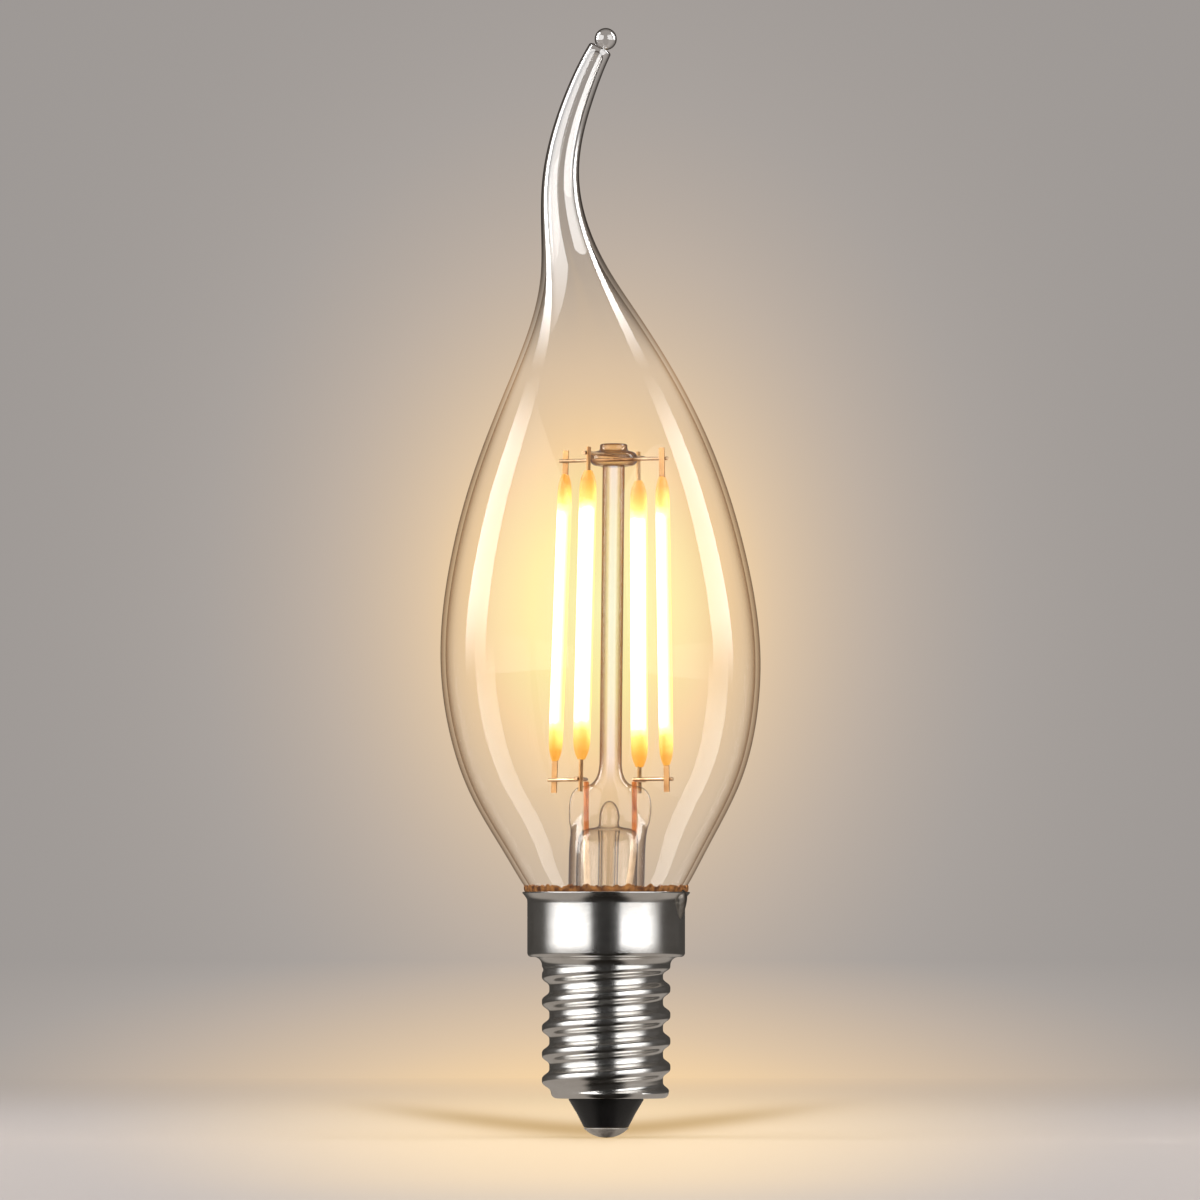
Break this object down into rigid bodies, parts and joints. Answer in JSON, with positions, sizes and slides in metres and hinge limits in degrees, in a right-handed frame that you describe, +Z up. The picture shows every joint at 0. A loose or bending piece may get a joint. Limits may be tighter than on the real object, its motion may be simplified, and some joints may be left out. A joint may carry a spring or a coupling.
{
  "type": "candle bulb",
  "caption": "Clear candle bulb with a bent flame tip, upright filaments on a glass stem and a small screw cap.",
  "frame": {"origin": "tip of the centre contact, on the screw cap's axis", "axes": "+Z up the cap's axis to the flame tip, +X to the right of the picture, -Y to the camera"},
  "size_m": [0.0346, 0.0346, 0.1201],
  "materials": {
    "envelope_glass": "clear blown glass",
    "stem_glass": "clear lead glass",
    "bead_glass": "smoky pressed glass",
    "sealing_wire": "copper clad sealing wire",
    "phosphor": "lit silicone with yellow phosphor",
    "carrier_strip": "white ceramic strip",
    "tab_steel": "plated steel",
    "wire_nickel": "drawn nickel wire",
    "copper_wire": "tinned copper wire",
    "cap_nickel": "nickel plated, finely scratched",
    "contact_nickel": "nickel plated brass, worn",
    "solder": "soft solder",
    "insulator_black": "black moulding",
    "cement": "orange-brown basing cement",
    "board": "glass epoxy board",
    "chip_black": "moulded epoxy",
    "capacitor_sleeve": "shrunk sleeve",
    "resistor_body": "coated ceramic"
  },
  "bodies": {
    "root": {"back_left_filament_bottom_tab": "tab_steel", "back_left_filament_coating": "phosphor", "back_left_filament_strip": "carrier_strip", "back_left_filament_top_tab": "tab_steel", "back_right_filament_bottom_tab": "tab_steel", "back_right_filament_coating": "phosphor", "back_right_filament_strip": "carrier_strip", "back_right_filament_top_tab": "tab_steel", "basing_cement": "cement", "bridge_rectifier": "chip_black", "cap_shell": "cap_nickel", "centre_contact": "contact_nickel", "contact_wire": "copper_wire", "driver_board": "board", "driver_chip": "chip_black", "exhaust_tube": "stem_glass", "front_left_filament_bottom_tab": "tab_steel", "front_left_filament_coating": "phosphor", "front_left_filament_strip": "carrier_strip", "front_left_filament_top_tab": "tab_steel", "front_right_filament_bottom_tab": "tab_steel", "front_right_filament_coating": "phosphor", "front_right_filament_strip": "carrier_strip", "front_right_filament_top_tab": "tab_steel", "fuse_resistor": "resistor_body", "glass_envelope": "envelope_glass", "inner_top_wire": "wire_nickel", "insulator": "insulator_black", "left_foot_wire": "wire_nickel", "left_lead_wire": "sealing_wire", "outer_top_wire": "wire_nickel", "right_foot_wire": "wire_nickel", "right_lead_wire": "sealing_wire", "side_solder": "solder", "side_wire": "copper_wire", "smoothing_capacitor": "capacitor_sleeve", "stem": "stem_glass", "support_bead": "bead_glass", "support_rod": "stem_glass"}
  },
  "joints": []
}
